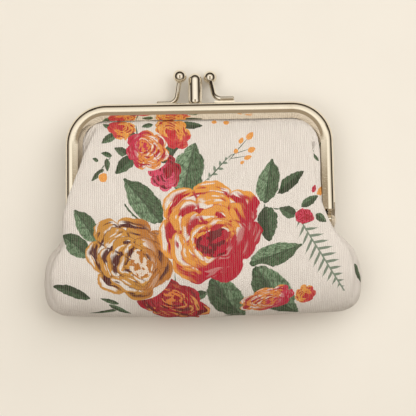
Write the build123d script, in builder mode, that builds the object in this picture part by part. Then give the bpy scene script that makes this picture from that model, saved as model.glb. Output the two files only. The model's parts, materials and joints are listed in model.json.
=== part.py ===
"""Two-pocket coin purse with a three-arch kiss-lock frame, lying on its back.

Three metal arches turn on one pair of rivets. The centre arch stands between the two pockets and carries
the locking post; the front and back arches each carry a sprung wire with a ball that snaps past the post.
The cloth is printed canvas with a plain lining. It is glued into the arches' channels with paper cord,
and sewn into a pouch below the rivets.

Millimetres. +X is to the right and +Y towards the clasp, with the purse lying on the plane Z = 0.
The frame's own plane dips towards the clasp, because the pouch is thicker than the closed frame.
"""

import os
from math import cos, radians, sin, sqrt

from build123d import *

os.makedirs("parts", exist_ok=True)

# ---- Driving dimensions ----
dip = 9.0  # degrees that the closed frame leans down towards the clasp
hinge_height = 11.6  # the rivets' axis above the table
rubbed_flat = 0.25  # height above the table of the flat that the back arch stands on
pouch_length = 29.8  # the rivets' axis to the bottom of the pouch
frame_half_width = 42.5  # middle of the purse to the outside of a leg
frame_rise = 38.0  # the rivets' axis to the outside of the arch's top
corner_radius = 13.0  # outside of the arch's shoulders

channel_depth = 5.4  # outside of the outer channels to their lips
face_depth = 4.0  # outside to where the face turns down to the lip
lip_fall = 1.7
channel_height = 4.5
channel_wall = 0.8
half_gap = 1.5  # middle of the closed frame to the back of an outer channel
leg_start = 2.8  # the rivets' axis to the ends of the legs
crimped_end = 2.4  # length of leg pressed solid above the ears

centre_half_height = 1.3
centre_inset = 0.5  # the centre arch is this much smaller all round
centre_depth = 4.0
centre_slot = 1.2

ear_radius = 2.4
ear_thickness = 0.9
ear_pitch = 1.0
rivet_radius = 1.0
rivet_clearance = 0.06
rivet_head_radius = 1.7
rivet_head_thickness = 0.7

clasp_offset = -1.1  # the clasp is brazed on a little to the left of the middle
post_radius = 2.25
post_height = 11.0
peg_radius = 0.9
ball_radius = 2.2
ball_reach = 4.85  # middle of the post to the middle of a ball
ball_rise = 47.6  # the rivets' axis to the middles of the balls
ball_cross = 1.0  # how far each ball passes behind the middle of the post
wire_radius = 0.85
saddle_height = 0.8  # brazed pads that the wires' feet lie on
saddle_length = 6.4
saddle_width = 1.5
foot_lift = 1.2  # back of an outer channel to the middle of a foot
wire_foot = 12.5  # middle of the post to the end of a wire's foot
wire_corner = 6.3
wire_bend = 2.9
braze_sink = 0.05  # how far a brazed wire bites into the arch's edge

canvas = 0.8
lining = 0.35
lining_gap = 0.15
cloth_in_channel = 3.9  # outside of an outer arch to the cloth's edge in its slot
divider_in_channel = 2.9
cord_radius = 0.68
centre_cord_radius = 0.5
cord_inset = 1.75

ball_top = ball_rise * cos(radians(dip)) + ball_cross * sin(radians(dip)) + ball_radius
hinge_y = pouch_length - (pouch_length + ball_top) / 2

# ---- The frame's plane and its two faces, with the origin on the rivets' axis ----
tilted_up = (0, sin(radians(dip)), cos(radians(dip)))
front_plane = Plane(origin=(0, hinge_y, hinge_height), x_dir=(1, 0, 0), z_dir=tilted_up)
back_plane = Plane(origin=front_plane.origin, x_dir=(-1, 0, 0), z_dir=front_plane.z_dir * -1)


def save(part, name):
    """Names a finished piece and writes it."""
    part.label = name
    export_step(part, f"parts/{name}.step")


def arch_line(plane, side, crown, radius, start):
    """Up the right leg, over the top and down the left one."""
    with BuildLine(plane) as line:
        FilletPolyline((side, start), (side, crown), (-side, crown), (-side, start), radius=radius)
    return line.line


def across_leg(plane, side, start):
    """A plane across the right leg: its x runs inwards and its y runs outwards from the frame's plane."""
    return Plane(origin=plane.from_local_coords((side, start, 0)), x_dir=plane.x_dir * -1, z_dir=plane.y_dir)


def across_axis(plane, x):
    """A plane across the rivets' axis: its x runs up the leg and its y runs outwards."""
    return Plane(origin=plane.from_local_coords((x, 0, 0)), x_dir=plane.y_dir, z_dir=plane.x_dir)


# ---- Outer arches: crowned channels of plated steel, open inwards, with an ear on each leg ----
low = half_gap
high = half_gap + channel_height
slot_low = low + channel_wall
slot_high = high - 2.25


def outer_arch(plane, ear_middle, offset):
    """One outer arch. ear_middle is the middle of its ear's thickness, measured from the middle of the purse,
    and offset is where its half of the clasp is centred."""
    side, crown = frame_half_width, frame_rise
    whole = arch_line(plane, side, crown, corner_radius, leg_start)
    hollow = arch_line(plane, side, crown, corner_radius, leg_start + crimped_end)
    with BuildPart() as arch:
        # Flat back, rounded outside, and a crowned face that falls to the lip
        with BuildSketch(across_leg(plane, side, leg_start)):
            with BuildLine():
                Line((channel_depth, low), (1.0, low))
                RadiusArc((1.0, low), (0, low + 1.1), 1.05)
                Line((0, low + 1.1), (0, low + 2.6))
                ThreePointArc((0, low + 2.6), (0.42, high - 0.72), (1.5, high - 0.12))
                ThreePointArc((1.5, high - 0.12), (2.75, high), (face_depth, high - 0.12))
                Line((face_depth, high - 0.12), (channel_depth, high - lip_fall))
                Line((channel_depth, high - lip_fall), (channel_depth, low))
            make_face()
        sweep(path=whole)
        with BuildSketch(across_leg(plane, side, leg_start + crimped_end)):
            with BuildLine():
                Polyline(
                    (channel_depth + 0.5, slot_low),
                    (channel_wall, slot_low),
                    (channel_wall, slot_high - 0.3),
                    (channel_wall + 0.4, slot_high),
                    (channel_depth + 0.5, slot_high),
                    close=True,
                )
            make_face()
        sweep(path=hollow, mode=Mode.SUBTRACT)
        for x in (ear_middle, -ear_middle):
            with BuildSketch(across_axis(plane, x)):
                Circle(ear_radius)
                with Locations((leg_start + crimped_end / 2, (low + high) / 2)):
                    Rectangle(crimped_end - 0.4, channel_height - 1.6)
                make_hull()
            extrude(amount=ear_thickness / 2, both=True)
            with BuildSketch(across_axis(plane, x)):
                Circle(rivet_radius + rivet_clearance)
            extrude(amount=ear_thickness, both=True, mode=Mode.SUBTRACT)
        # Pad for the clasp wire's foot
        pad_middle = offset + (wire_foot + wire_corner) / 2
        with Locations(Location(plane) * Location((pad_middle, crown + saddle_height / 2 - 0.2, low + foot_lift))):
            Box(saddle_length, saddle_height + 0.4, saddle_width)
    return arch.part


outer_ear = frame_half_width - ear_thickness / 2 - 0.1
front_arch = outer_arch(front_plane, outer_ear, clasp_offset)
with BuildPart() as whole_back_arch:
    add(outer_arch(back_plane, outer_ear - 2 * ear_pitch, -clasp_offset))
    # the edge it stands on is rubbed flat
    split(bisect_by=Plane.XY.offset(rubbed_flat), keep=Keep.TOP)
back_arch = whole_back_arch.part

# ---- Centre arch: a thin channel that holds the pocket divider ----
centre_side = frame_half_width - centre_inset
centre_crown = frame_rise - centre_inset
centre_ear = outer_ear - ear_pitch
centre_leg_start = leg_start + crimped_end + 0.1

with BuildPart() as centre_arch:
    with BuildSketch(across_leg(front_plane, centre_side, 0)):
        with Locations((centre_depth / 2, 0)):
            RectangleRounded(centre_depth, 2 * centre_half_height, 0.4)
    sweep(path=arch_line(front_plane, centre_side, centre_crown, corner_radius - centre_inset, 0))
    # Only the ear's own thickness of metal reaches down to the rivet
    with BuildSketch(front_plane):
        for mirrored in (1, -1):
            inner_side = mirrored * (centre_ear - 5 - ear_thickness / 2)
            outer_side = mirrored * (centre_ear + 5 + ear_thickness / 2)
            with Locations((inner_side, 0), (outer_side, 0)):
                Rectangle(10, 2 * centre_leg_start)
    extrude(amount=4, both=True, mode=Mode.SUBTRACT)
    with BuildSketch(across_leg(front_plane, centre_side, centre_leg_start + 0.6)):
        with Locations((channel_wall + centre_depth / 2, 0)):
            Rectangle(centre_depth, centre_slot)
    sweep(
        path=arch_line(
            front_plane, centre_side, centre_crown, corner_radius - centre_inset, centre_leg_start + 0.6
        ),
        mode=Mode.SUBTRACT,
    )
    for x in (centre_ear, -centre_ear):
        with BuildSketch(across_axis(front_plane, x)):
            Circle(ear_radius)
        extrude(amount=ear_thickness / 2, both=True)
        with BuildSketch(across_axis(front_plane, x)):
            Circle(rivet_radius + rivet_clearance)
        extrude(amount=ear_thickness, both=True, mode=Mode.SUBTRACT)
    with BuildSketch(Plane(origin=front_plane.from_local_coords((clasp_offset, centre_crown, 0)), z_dir=front_plane.y_dir)):
        Circle(peg_radius + 0.05)
    extrude(amount=1.2, both=True, mode=Mode.SUBTRACT)

# ---- Rivets: one through the three ears on each side ----
rivet_inner = outer_ear - 2 * ear_pitch - ear_thickness / 2 - 0.1
rivet_outer = outer_ear + ear_thickness / 2 + 0.1


def hinge_rivet(hand):
    """A rivet with a domed head outside and a flat one inside; hand is 1 on the right and -1 on the left."""
    dome = (rivet_head_radius**2 + rivet_head_thickness**2) / (2 * rivet_head_thickness)
    with BuildPart() as rivet:
        with BuildSketch(Plane.XY):
            with BuildLine():
                Polyline(
                    (rivet_inner - rivet_head_thickness, 0),
                    (rivet_inner - rivet_head_thickness, rivet_head_radius),
                    (rivet_inner, rivet_head_radius),
                    (rivet_inner, rivet_radius),
                    (rivet_outer, rivet_radius),
                    (rivet_outer, rivet_head_radius),
                )
                RadiusArc((rivet_outer, rivet_head_radius), (rivet_outer + rivet_head_thickness, 0), dome)
                Line((rivet_outer + rivet_head_thickness, 0), (rivet_inner - rivet_head_thickness, 0))
            make_face()
        revolve(axis=Axis.X)
    placed = rivet.part if hand > 0 else rivet.part.mirror(Plane.YZ)
    return placed.moved(Location((0, hinge_y, hinge_height)))


# ---- Clasp: a post on the centre arch, and a ball on a bent wire on each outer arch ----
post_foot = centre_crown + 0.3
with BuildPart() as post:
    with BuildSketch(Plane(origin=front_plane.from_local_coords((clasp_offset, 0, 0)), x_dir=(1, 0, 0), z_dir=front_plane.z_dir)):
        with BuildLine():
            Line((0, post_foot - 1.2), (peg_radius, post_foot - 1.2))
            Line((peg_radius, post_foot - 1.2), (peg_radius, post_foot))
            Line((peg_radius, post_foot), (1.3, post_foot))
            ThreePointArc((1.3, post_foot), (1.95, post_foot + 0.75), (post_radius, post_foot + 1.9))
            Line((post_radius, post_foot + 1.9), (post_radius, post_foot + post_height - post_radius))
            RadiusArc(
                (post_radius, post_foot + post_height - post_radius), (0, post_foot + post_height), -post_radius
            )
            Line((0, post_foot + post_height), (0, post_foot - 1.2))
        make_face()
    revolve(axis=Axis(front_plane.from_local_coords((clasp_offset, 0, 0)), front_plane.y_dir))


def clasp_arm(plane, offset):
    """The bent wire and its ball, on one outer arch: (wire, ball)."""
    foot_rise = frame_rise + saddle_height + wire_radius - braze_sink
    foot = (offset + wire_foot, foot_rise, low + foot_lift)
    corner = (offset + wire_corner, foot_rise, low + foot_lift)
    ball_middle = (offset + ball_reach, ball_rise, -ball_cross)
    with BuildLine(plane) as run:
        FilletPolyline(foot, corner, ball_middle, radius=wire_bend)
    line = run.line
    with BuildPart() as wire:
        with BuildSketch(Plane(origin=line @ 0, z_dir=line % 0)):
            Circle(wire_radius)
        sweep(path=line)
        fillet(wire.edges().filter_by(GeomType.CIRCLE).sort_by(Axis((line @ 0), (line % 0)))[0], 0.35)
    with BuildPart() as socket:
        with BuildSketch(Plane(origin=line @ 1, z_dir=line % 1)):
            Circle(wire_radius + 0.02)
        extrude(amount=2 * ball_radius, both=True)
        split(bisect_by=Plane(origin=(line @ 1) + (line % 1) * 0.05, z_dir=line % 1), keep=Keep.BOTTOM)
    with BuildPart() as ball:
        with Locations(Location(line @ 1)):
            Sphere(ball_radius)
        add(socket.part, mode=Mode.SUBTRACT)
    return wire.part, ball.part


front_wire, front_ball = clasp_arm(front_plane, clasp_offset)
back_wire, back_ball = clasp_arm(back_plane, -clasp_offset)


# ---- Paper cord packed into each channel over the cloth's edge ----
def channel_cord(plane, inset_from, radius, lift, start):
    side = frame_half_width - inset_from - cord_inset
    crown = frame_rise - inset_from - cord_inset
    with BuildPart() as cord:
        with BuildSketch(across_leg(plane, side, start)):
            with Locations((0, lift)):
                Circle(radius)
        sweep(path=arch_line(plane, side, crown, corner_radius - inset_from - cord_inset, start))
    return cord.part


slot_middle = (slot_low + slot_high) / 2
cord_start = leg_start + crimped_end + 0.3
centre_cord_start = centre_leg_start + 0.9
front_cord = channel_cord(front_plane, 0, cord_radius, slot_middle, cord_start)
back_cord = channel_cord(back_plane, 0, cord_radius, slot_middle, cord_start)
centre_cord = channel_cord(front_plane, centre_inset, centre_cord_radius, 0, centre_cord_start)

# ---- Cloth panels above the rivets, one in each outer arch ----
# (height up the frame's plane, how far the panel's middle stands out from that plane)
panel_swell = [(0.0, 10.0), (5.0, 9.4), (10.0, 8.2), (16.0, 6.7), (22.0, 5.6), (28.0, 4.7), (31.5, 4.1)]
top_swell = 3.6
panel_edge_lift = slot_low + 0.1


def cloth_reach(v, inset):
    """Half width of the cloth at a height up the frame: straight legs, then the shoulder's arc."""
    radius = corner_radius - inset
    rise = v - (frame_rise - corner_radius)
    side = frame_half_width - inset
    if rise <= 0:
        return side
    return side - radius + sqrt(radius**2 - rise**2)


def panel_layer(plane, inner, outer, inset):
    """One layer of an outer panel, between two depths below its outside."""
    neck = frame_half_width - channel_depth - 0.5 - outer
    with BuildPart() as layer:
        for v, swell in [*panel_swell, (frame_rise - inset - 0.1, top_swell)]:
            edge = cloth_reach(v, inset) if v > 8 else neck
            lift = panel_edge_lift + canvas
            with BuildSketch(Plane(origin=plane.from_local_coords((0, v, 0)), x_dir=plane.x_dir, z_dir=plane.y_dir * -1)):
                with BuildLine():
                    Line((-edge, lift - inner), (-edge, lift - outer))
                    ThreePointArc((-edge, lift - outer), (0, swell - outer), (edge, lift - outer))
                    Line((edge, lift - outer), (edge, lift - inner))
                    ThreePointArc((edge, lift - inner), (0, swell - inner), (-edge, lift - inner))
                make_face()
        loft()
    return layer.part


front_panel = panel_layer(front_plane, canvas, 0, cloth_in_channel)
back_panel = panel_layer(back_plane, canvas, 0, cloth_in_channel)
inside_canvas = canvas + lining_gap
front_panel_lining = panel_layer(front_plane, inside_canvas + lining, inside_canvas, channel_depth + 0.6)
back_panel_lining = panel_layer(back_plane, inside_canvas + lining, inside_canvas, channel_depth + 0.6)

# ---- Pouch below the rivets: front and back halves, sewn at the sides and bottom ----
# (distance below the rivets, half width, half thickness)
pouch_shape = [
    (2.0, 42.6, 11.6),
    (7.0, 46.2, 12.2),
    (12.0, 49.0, 12.5),
    (18.0, 50.0, 12.4),
    (22.5, 49.8, 11.4),
    (26.0, 47.8, 9.0),
    (28.4, 43.5, 6.0),
    (pouch_length, 38.0, 2.6),
]
front_rim = 4.4  # the front half's rim below the rivets
back_rim = 6.6
flat_wall = 1.1


def pouch_solid(shrink):
    """The pouch's outer shape, made smaller all round by shrink."""
    with BuildPart() as solid:
        for below, half_width, half_thickness in pouch_shape:
            y = hinge_y - below + (shrink if below > 26 else 0)
            across = Plane(origin=(0, y, hinge_height), x_dir=(1, 0, 0), z_dir=(0, -1, 0))
            with BuildSketch(across):
                Ellipse(half_width - shrink, half_thickness - shrink)
        loft()
    return solid.part


def pouch_half(outside, inside, floor_outside, floor_inside, keep, rim):
    """Front (Keep.TOP) or back (Keep.BOTTOM) half of a layer of the pouch, open at its rim."""
    with BuildPart() as cavity:
        add(pouch_solid(inside))
        split(bisect_by=Plane.XY.offset(floor_inside), keep=Keep.TOP)
    with BuildPart() as half:
        add(pouch_solid(outside))
        split(bisect_by=Plane.XY.offset(floor_outside), keep=Keep.TOP)
        add(cavity.part, mode=Mode.SUBTRACT)
        split(bisect_by=Plane.XY.offset(hinge_height), keep=keep)
        split(bisect_by=Plane.XZ.offset(rim - hinge_y), keep=Keep.TOP)
    return half.part


lining_outside = canvas + lining_gap
lining_inside = lining_outside + lining
front_pouch = pouch_half(0, canvas, 0, flat_wall, Keep.TOP, front_rim)
back_pouch = pouch_half(0, canvas, 0, flat_wall, Keep.BOTTOM, back_rim)
lining_floor = flat_wall + lining_gap
front_pouch_lining = pouch_half(
    lining_outside, lining_inside, lining_floor, lining_floor + lining, Keep.TOP, front_rim
)
back_pouch_lining = pouch_half(
    lining_outside, lining_inside, lining_floor, lining_floor + lining, Keep.BOTTOM, back_rim
)

# ---- Pocket divider: hangs from the centre arch and runs down the middle of the pouch ----
divider = 0.8
divider_neck = 37.0  # half width where it passes between the rivets
neck_below = 6.0
divider_side = centre_side - divider_in_channel
divider_top = centre_crown - divider_in_channel

with BuildPart() as divider_panel:
    with BuildSketch(front_plane):
        with BuildLine():
            FilletPolyline(
                (divider_side, centre_cord_start),
                (divider_side, divider_top),
                (-divider_side, divider_top),
                (-divider_side, centre_cord_start),
                radius=corner_radius - centre_inset - divider_in_channel,
                close=False,
            )
            Line((-divider_side, centre_cord_start), (divider_side, centre_cord_start))
        make_face()
    extrude(amount=divider / 2, both=True)
    with BuildSketch(front_plane):
        with Locations((0, (centre_cord_start + 0.5) / 2)):
            Rectangle(2 * divider_neck, centre_cord_start + 0.5)
    extrude(amount=divider / 2, both=True)
    with BuildPart(mode=Mode.PRIVATE) as slab:
        with BuildSketch(Plane.XY.offset(hinge_height)):
            with Locations((0, hinge_y - pouch_length / 2)):
                Rectangle(120, pouch_length)
        extrude(amount=divider / 2, both=True)
        add(pouch_solid(lining_inside + 0.3), mode=Mode.INTERSECT)
        split(bisect_by=Plane.XZ.offset(neck_below - hinge_y), keep=Keep.TOP)
    add(slab.part)
    with BuildSketch(Plane.XY.offset(hinge_height)):
        with Locations((0, hinge_y - neck_below / 2 - 0.05)):
            Rectangle(2 * divider_neck, neck_below + 0.1)
    extrude(amount=divider / 2, both=True)

# ---- Write every piece ----
save(centre_arch.part, "centre_frame")
save(post.part, "locking_post")
save(centre_cord, "centre_channel_cord")
save(divider_panel.part, "pocket_divider")
save(hinge_rivet(1), "right_hinge_rivet")
save(hinge_rivet(-1), "left_hinge_rivet")
save(front_pouch, "front_pouch")
save(back_pouch, "back_pouch")
save(front_pouch_lining, "front_pouch_lining")
save(back_pouch_lining, "back_pouch_lining")
save(front_arch, "front_frame")
save(front_wire, "front_clasp_wire")
save(front_ball, "front_clasp_ball")
save(front_cord, "front_channel_cord")
save(front_panel, "front_panel")
save(front_panel_lining, "front_panel_lining")
save(back_arch, "back_frame")
save(back_wire, "back_clasp_wire")
save(back_ball, "back_clasp_ball")
save(back_cord, "back_channel_cord")
save(back_panel, "back_panel")
save(back_panel_lining, "back_panel_lining")

rest_point = (0, hinge_y - 15, 0)
print("hinge", hinge_y, hinge_height, "rest", rest_point)
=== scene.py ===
"""Looks of a two-pocket coin purse with a three-arch kiss-lock frame, lying on its back on a pale table.

Lengths in the tables are millimetres. u runs across the purse, v from the rivets' axis up to the clasp, and
w out of the frame's own plane; row_point() turns them into metres in the row frame.
"""

import json
import math

import bpy
import numpy as np
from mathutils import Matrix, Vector, noise


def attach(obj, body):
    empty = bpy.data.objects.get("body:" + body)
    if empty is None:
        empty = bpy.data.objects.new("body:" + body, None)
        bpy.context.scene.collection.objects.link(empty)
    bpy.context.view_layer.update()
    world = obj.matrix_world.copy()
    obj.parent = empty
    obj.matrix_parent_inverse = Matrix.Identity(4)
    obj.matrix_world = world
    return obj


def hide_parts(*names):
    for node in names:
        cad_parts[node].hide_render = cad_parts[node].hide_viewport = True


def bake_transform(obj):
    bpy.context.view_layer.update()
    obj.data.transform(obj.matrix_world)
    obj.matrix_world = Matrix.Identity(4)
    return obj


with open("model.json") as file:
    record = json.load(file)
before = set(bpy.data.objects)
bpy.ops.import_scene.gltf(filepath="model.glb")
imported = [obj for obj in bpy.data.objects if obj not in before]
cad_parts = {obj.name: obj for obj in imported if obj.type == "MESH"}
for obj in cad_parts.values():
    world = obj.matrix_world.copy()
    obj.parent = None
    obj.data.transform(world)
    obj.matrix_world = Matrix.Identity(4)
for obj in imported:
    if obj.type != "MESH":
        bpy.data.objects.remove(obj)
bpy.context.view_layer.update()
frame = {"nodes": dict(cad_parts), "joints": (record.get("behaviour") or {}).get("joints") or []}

MM = 0.001

# ======================================================================================================
# Table and studio. The purse lies on a pale matt table in soft daylight from the upper right. A bright
# wall over a dark skirting, and a pale curtain overhead, give the plated frame something to reflect.
# ======================================================================================================
joint = frame["joints"][0]
HINGE = Vector(joint["pos_m"])
VIEW_WIDTH = 131.0 * MM
CAMERA_DISTANCE = 450.0 * MM
FACE_HEIGHT = 16.0 * MM
SENSOR_WIDTH = 36.0
AIM_RIGHT, AIM_UP = 2.4 * MM, 4.6 * MM  # where the camera looks, from the middle of the rivets' axis

camera_data = bpy.data.cameras.new("camera")
camera_data.sensor_width = SENSOR_WIDTH
camera_data.lens = SENSOR_WIDTH * CAMERA_DISTANCE / VIEW_WIDTH
camera = bpy.data.objects.new("camera", camera_data)
camera.location = (HINGE.x + AIM_RIGHT, HINGE.y + AIM_UP, FACE_HEIGHT + CAMERA_DISTANCE)
camera.rotation_euler = (0, 0, math.radians(-1.0))
bpy.context.scene.collection.objects.link(camera)
bpy.context.scene.camera = camera


def sockets(node, **values):
    """Sets a node's inputs by name, with _ for a space."""
    for name, value in values.items():
        node.inputs[name.replace("_", " ")].default_value = value
    return node


def new_surface(name):
    """A material with an empty tree, its Principled shader and its output: (material, tree, shader)."""
    material = bpy.data.materials.new(name)
    material.use_nodes = True
    tree = material.node_tree
    tree.nodes.clear()
    shader = tree.nodes.new("ShaderNodeBsdfPrincipled")
    output = tree.nodes.new("ShaderNodeOutputMaterial")
    tree.links.new(shader.outputs[0], output.inputs["Surface"])
    return material, tree, shader


def table_top():
    material, tree, shader = new_surface("table_laminate")
    speckle = sockets(tree.nodes.new("ShaderNodeTexNoise"), Scale=60.0, Detail=4.0)
    where = tree.nodes.new("ShaderNodeTexCoord")
    tint = tree.nodes.new("ShaderNodeValToRGB")
    tint.color_ramp.elements[0].color = (0.80, 0.765, 0.70, 1)
    tint.color_ramp.elements[1].color = (0.825, 0.79, 0.725, 1)
    tree.links.new(where.outputs["Object"], speckle.inputs["Vector"])
    tree.links.new(speckle.outputs["Fac"], tint.inputs["Fac"])
    tree.links.new(tint.outputs["Color"], shader.inputs["Base Color"])
    sockets(shader, Roughness=0.55)
    mesh = bpy.data.meshes.new("table")
    reach = 1.2
    corners = [(-reach, -reach, 0), (reach, -reach, 0), (reach, reach, 0), (-reach, reach, 0)]
    mesh.from_pydata(corners, [], [(0, 1, 2, 3)])
    mesh.materials.append(material)
    table = bpy.data.objects.new("table", mesh)
    bpy.context.scene.collection.objects.link(table)


table_top()


def lamp(name, place, size, power, colour):
    """A soft panel of light aimed at the purse. place is in metres."""
    data = bpy.data.lights.new(name, "AREA")
    data.shape = "RECTANGLE"
    data.size, data.size_y = size
    data.energy = power
    data.color = colour
    panel = bpy.data.objects.new(name, data)
    panel.location = place
    panel.rotation_euler = (-Vector(place)).to_track_quat("-Z", "Y").to_euler()
    panel.visible_glossy = False
    bpy.context.scene.collection.objects.link(panel)


lamp("window", (0.55, 0.55, 0.75), (1.4, 1.1), 7.6, (1.0, 0.985, 0.96))
lamp("ceiling", (-0.25, 0.1, 1.1), (1.2, 1.2), 5.2, (1.0, 0.975, 0.94))


def maths(tree, operation, first, second=None, third=None):
    """A Math node fed with sockets or numbers; returns its output."""
    node = tree.nodes.new("ShaderNodeMath")
    node.operation = operation
    for socket, value in zip(node.inputs, (first, second, third)):
        if value is None:
            continue
        if isinstance(value, (int, float)):
            socket.default_value = value
        else:
            tree.links.new(value, socket)
    return node.outputs[0]


def mixed(tree, amount, first, second):
    """A colour mix; each argument is a socket, or a number or colour."""
    node = tree.nodes.new("ShaderNodeMix")
    node.data_type = "RGBA"
    for socket, value in zip((node.inputs[0], node.inputs[6], node.inputs[7]), (amount, first, second)):
        if isinstance(value, (int, float)):
            socket.default_value = value
        elif isinstance(value, tuple):
            socket.default_value = (*value, 1)
        else:
            tree.links.new(value, socket)
    return node.outputs[2]


def ramp(tree, value, low, high, to_low=0.0, to_high=1.0, smooth=True):
    """A Map Range from low..high to to_low..to_high."""
    node = tree.nodes.new("ShaderNodeMapRange")
    if smooth:
        node.interpolation_type = "SMOOTHSTEP"
    sockets(node, From_Min=low, From_Max=high, To_Min=to_low, To_Max=to_high)
    tree.links.new(value, node.inputs["Value"])
    return node.outputs["Result"]


room = bpy.data.worlds.new("room")
bpy.context.scene.world = room
room.use_nodes = True
room_tree = room.node_tree
room_tree.nodes.clear()
direction = room_tree.nodes.new("ShaderNodeTexCoord")
towards = room_tree.nodes.new("ShaderNodeSeparateXYZ")
room_tree.links.new(direction.outputs["Generated"], towards.inputs[0])
walls = room_tree.nodes.new("ShaderNodeValToRGB")
# Colour by height, from straight down at 0 to straight up at 1: floor, dark skirting, wall and ceiling
for place, colour in [
    (0.0, (0.50, 0.46, 0.40)),
    (0.50, (0.40, 0.36, 0.30)),
    (0.52, (0.045, 0.035, 0.028)),
    (0.73, (0.080, 0.060, 0.045)),
    (0.80, (0.42, 0.35, 0.27)),
    (0.87, (1.25, 1.17, 1.06)),
    (0.93, (0.80, 0.77, 0.71)),
]:
    stop = walls.color_ramp.elements[0] if place == 0.0 else walls.color_ramp.elements.new(place)
    stop.position, stop.color = place, (*colour, 1)
walls.color_ramp.elements[-1].position = 1.0
walls.color_ramp.elements[-1].color = (0.72, 0.70, 0.66, 1)
room_tree.links.new(ramp(room_tree, towards.outputs["Z"], -1.0, 1.0, smooth=False), walls.inputs["Fac"])
# Overhead, a pale curtain towards the clasp and at both sides shows in the plate; straight up it is warmer
overhead = ramp(room_tree, towards.outputs["Z"], 0.74, 0.86, smooth=False)
beyond = ramp(room_tree, towards.outputs["Y"], 0.325, 0.365, smooth=False)
sideways = maths(room_tree, "ABSOLUTE", towards.outputs["X"])
aside = ramp(room_tree, sideways, 0.20, 0.28, smooth=False)
curtain = maths(room_tree, "MAXIMUM", beyond, aside)
ceiling = mixed(room_tree, curtain, (0.60, 0.49, 0.36), (1.75, 1.66, 1.50))
light = sockets(room_tree.nodes.new("ShaderNodeBackground"), Strength=0.62)
room_output = room_tree.nodes.new("ShaderNodeOutputWorld")
room_tree.links.new(mixed(room_tree, overhead, walls.outputs["Color"], ceiling), light.inputs["Color"])
room_tree.links.new(light.outputs[0], room_output.inputs["Surface"])
bpy.context.scene.view_settings.view_transform = "Standard"

# ======================================================================================================
# Arches, rivets and clasp. Rolled and crimped steel channel with a polished pale champagne nickel plate,
# pinned by one rivet a side; the clasp's wires and post are brazed on. Handling leaves a faint haze.
# ======================================================================================================


def group_of(name, inputs, outputs):
    """An empty shader node group: (group, its input node, its output node)."""
    group = bpy.data.node_groups.new(name, "ShaderNodeTree")
    for label, kind, value in inputs:
        socket = group.interface.new_socket(label, in_out="INPUT", socket_type=kind)
        if value is not None:
            socket.default_value = value
    for label, kind in outputs:
        group.interface.new_socket(label, in_out="OUTPUT", socket_type=kind)
    return group, group.nodes.new("NodeGroupInput"), group.nodes.new("NodeGroupOutput")


def handled_plate_group():
    """Haze from handling, rolling waves and fine hairline scratches on polished plate."""
    group, source, result = group_of(
        "handled_plate",
        [
            ("Vector", "NodeSocketVector", None),
            ("Haze", "NodeSocketFloat", 0.1),
            ("Scratch", "NodeSocketFloat", 0.5),
        ],
        [("Roughness", "NodeSocketFloat"), ("Height", "NodeSocketFloat"), ("Tarnish", "NodeSocketFloat")],
    )
    smear = sockets(group.nodes.new("ShaderNodeTexNoise"), Scale=140.0, Detail=5.0, Roughness=0.6)
    group.links.new(source.outputs["Vector"], smear.inputs["Vector"])
    waves = sockets(group.nodes.new("ShaderNodeTexNoise"), Scale=95.0, Detail=1.0)
    group.links.new(source.outputs["Vector"], waves.inputs["Vector"])
    stretch = sockets(
        group.nodes.new("ShaderNodeMapping"), Rotation=(0.3, 0.2, 0.7), Scale=(900, 9000, 9000)
    )
    group.links.new(source.outputs["Vector"], stretch.inputs["Vector"])
    hairs = sockets(group.nodes.new("ShaderNodeTexNoise"), Scale=1.0, Detail=2.0)
    group.links.new(stretch.outputs[0], hairs.inputs["Vector"])
    scratch = maths(
        group, "MULTIPLY", ramp(group, hairs.outputs["Fac"], 0.60, 0.72), source.outputs["Scratch"]
    )
    haze = maths(group, "MULTIPLY", ramp(group, smear.outputs["Fac"], 0.35, 0.75), source.outputs["Haze"])
    rough = maths(group, "ADD", maths(group, "ADD", haze, 0.035), maths(group, "MULTIPLY", scratch, 0.10))
    group.links.new(rough, result.inputs["Roughness"])
    lumps = maths(group, "SUBTRACT", maths(group, "MULTIPLY", waves.outputs["Fac"], 0.5), scratch)
    group.links.new(lumps, result.inputs["Height"])
    group.links.new(ramp(group, smear.outputs["Fac"], 0.55, 0.85), result.inputs["Tarnish"])
    return group


handled_plate = handled_plate_group()


def plated(name, colour, shade, haze, scratch, dent):
    """Polished plated metal; dent is the height of its waves and scratches in metres."""
    material, tree, shader = new_surface(name)
    where = tree.nodes.new("ShaderNodeTexCoord")
    wear = tree.nodes.new("ShaderNodeGroup")
    wear.node_tree = handled_plate
    sockets(wear, Haze=haze, Scratch=scratch)
    tree.links.new(where.outputs["Object"], wear.inputs["Vector"])
    tree.links.new(mixed(tree, wear.outputs["Tarnish"], colour, shade), shader.inputs["Base Color"])
    tree.links.new(wear.outputs["Roughness"], shader.inputs["Roughness"])
    bump = sockets(tree.nodes.new("ShaderNodeBump"), Strength=0.5, Distance=dent)
    tree.links.new(wear.outputs["Height"], bump.inputs["Height"])
    tree.links.new(bump.outputs[0], shader.inputs["Normal"])
    sockets(shader, Metallic=1.0)
    return material


def finish_node(node, material):
    """Gives a CAD node a material."""
    piece = frame["nodes"][node]
    for index in range(len(piece.material_slots)):
        piece.material_slots[index].material = material


champagne = plated("champagne_plate", (0.90, 0.83, 0.70), (0.82, 0.74, 0.60), 0.015, 0.15, 0.00002)
clasp_plate = plated("clasp_plate", (0.91, 0.85, 0.74), (0.80, 0.73, 0.62), 0.01, 0.15, 0.00001)
rivet_plate = plated("rivet_plate", (0.80, 0.76, 0.69), (0.62, 0.57, 0.50), 0.16, 0.8, 0.00003)

for node in ("front_frame", "back_frame", "centre_frame"):
    finish_node(node, champagne)
for node in ("locking_post", "front_clasp_wire", "back_clasp_wire", "front_clasp_ball", "back_clasp_ball"):
    finish_node(node, clasp_plate)
for node in ("left_hinge_rivet", "right_hinge_rivet"):
    finish_node(node, rivet_plate)

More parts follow.
